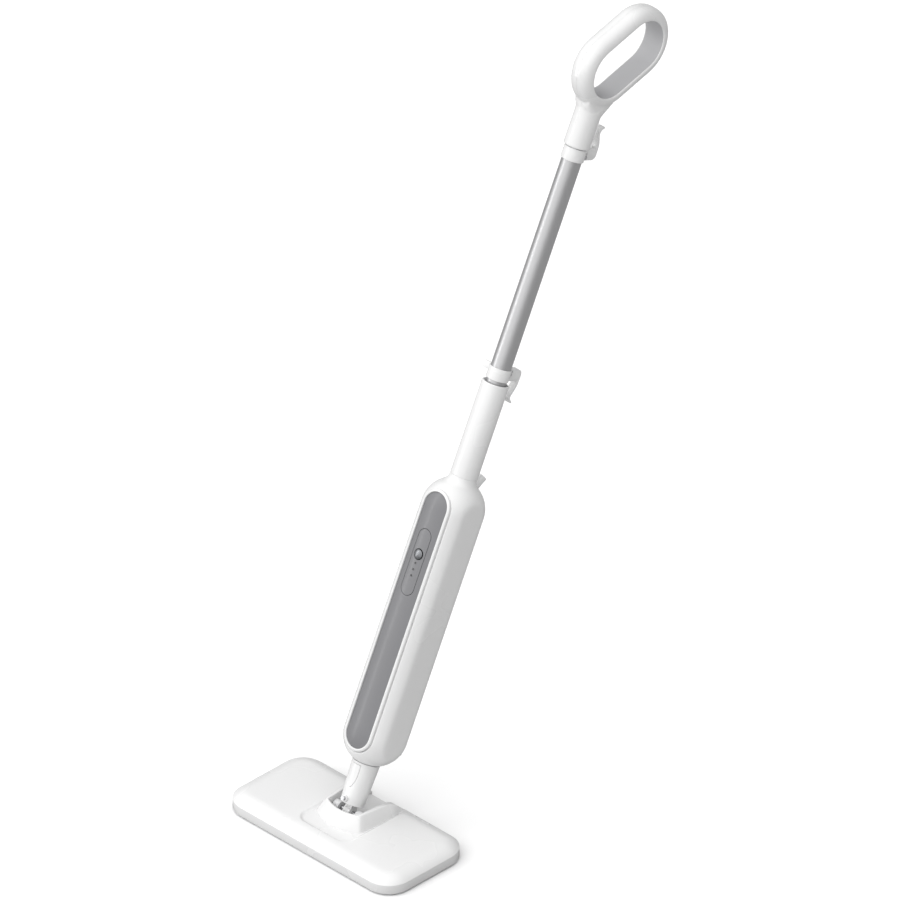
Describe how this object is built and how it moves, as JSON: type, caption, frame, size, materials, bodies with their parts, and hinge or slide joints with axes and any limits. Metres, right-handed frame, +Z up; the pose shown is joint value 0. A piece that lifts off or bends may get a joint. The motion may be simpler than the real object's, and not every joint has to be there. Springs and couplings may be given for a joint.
{
  "type": "steam mop",
  "caption": "Upright steam mop: flat rectangular steam head, tilting and rolling neck, capsule housing with front control panel, metal tube with cord hooks and a closed ring handle.",
  "frame": {"origin": "centre of the head's underside, on the floor", "axes": "+Z up, +Y towards the back, where the stick leans; +X to the user's right along the head"},
  "size_m": [0.3, 0.6351, 1.006],
  "materials": {
    "white_plastic": "satin gloss white",
    "pale_grip": "fine matte",
    "pale_plastic": "moulded matte",
    "grey_panel": "satin",
    "base_grey": "moulded matte",
    "dark_lens": "gloss",
    "button_metal": "brushed, domed",
    "tube_metal": "mottled metallic coat",
    "steel": "zinc plated",
    "board_green": "circuit board",
    "ivory_plastic": "matte",
    "tank_clear": "translucent",
    "black_rubber": "matte",
    "black_plastic": "matte",
    "filter_blue": "matte",
    "pump_metal": "satin paint",
    "hose_silicone": "translucent silicone",
    "cast_alloy": "sand-cast",
    "hook_tape": "hook tape",
    "pad_cloth": "looped microfibre"
  },
  "bodies": {
    "pole": {"handle_left_half": "white_plastic", "handle_right_half": "white_plastic", "grip_liner": "pale_grip", "handle_screws": "steel", "pole_tube": "tube_metal", "upper_cord_hook": "white_plastic", "upper_hook_screw": "steel"},
    "lower_hook": {"lower_cord_hook": "white_plastic", "lower_hook_pins": "steel"},
    "housing": {"front_shell": "white_plastic", "rear_shell": "white_plastic", "panel_bezel": "white_plastic", "front_panel": "grey_panel", "control_panel": "grey_panel", "indicator_lights": "dark_lens", "circuit_board": "board_green", "socket_tube": "white_plastic", "upper_bush": "pale_grip", "lower_bush": "pale_grip", "cord_gland": "white_plastic", "terminal_block": "ivory_plastic", "housing_screws": "steel", "water_tank": "tank_clear", "water_filter": "filter_blue", "pump": "pump_metal", "feed_hose": "hose_silicone", "boiler": "cast_alloy", "thermostat": "black_plastic", "thermal_fuse": "ivory_plastic", "steam_pipe": "steel", "steam_spigot": "pale_plastic", "spigot_seal": "black_rubber"},
    "power_button": {"power_button": "button_metal"},
    "filler_cap": {"filler_cap": "grey_panel", "cap_seal": "black_rubber"},
    "neck": {"neck": "white_plastic", "release_spring": "steel", "roll_pin": "steel"},
    "release_button": {"release_button": "white_plastic"},
    "knuckle": {"knuckle": "white_plastic", "tilt_axle": "steel"},
    "head": {"head_cover": "white_plastic", "pivot_cowl": "white_plastic", "left_bearing": "pale_plastic", "right_bearing": "pale_plastic", "steam_manifold": "pale_plastic", "base_plate": "base_grey", "base_screws": "steel", "pad_strips": "hook_tape", "mop_pad": "pad_cloth"}
  },
  "joints": [
    {"name": "lower_hook_swivel", "type": "hinge", "parent": "pole", "child": "lower_hook", "pos_m": [0, 0.27189, 0.56865], "axis": [0, 0.4415, 0.8973], "range_deg": [0, 180]},
    {"name": "pole_pull", "type": "slide", "parent": "pole", "child": "housing", "axis": [0, -0.4415, -0.8973], "range_m": [0, 0.1]},
    {"name": "power_button_press", "type": "slide", "parent": "housing", "child": "power_button", "axis": [0, 0.8973, -0.4415], "range_m": [0, 0.0012], "stiffness_N_per_m": 600, "springref_m": -0.001},
    {"name": "filler_cap_pull", "type": "slide", "parent": "housing", "child": "filler_cap", "axis": [0, 0.8973, -0.4415], "range_m": [0, 0.03]},
    {"name": "neck_pull", "type": "slide", "parent": "housing", "child": "neck", "axis": [0, -0.4415, -0.8973], "range_m": [0, 0.035]},
    {"name": "release_button_press", "type": "slide", "parent": "neck", "child": "release_button", "axis": [0, 0.8973, -0.4415], "range_m": [0, 0.0015], "stiffness_N_per_m": 500, "springref_m": -0.001, "deforming": ["release_spring"]},
    {"name": "neck_roll", "type": "hinge", "parent": "neck", "child": "knuckle", "pos_m": [0, 0.01405, 0.04465], "axis": [0, 0.8973, -0.4415], "range_deg": [-30, 30]},
    {"name": "head_tilt", "type": "hinge", "parent": "knuckle", "child": "head", "pos_m": [0, 0.0061, 0.0285], "axis": [1, 0, 0], "range_deg": [-26.2, 33.8]}
  ]
}
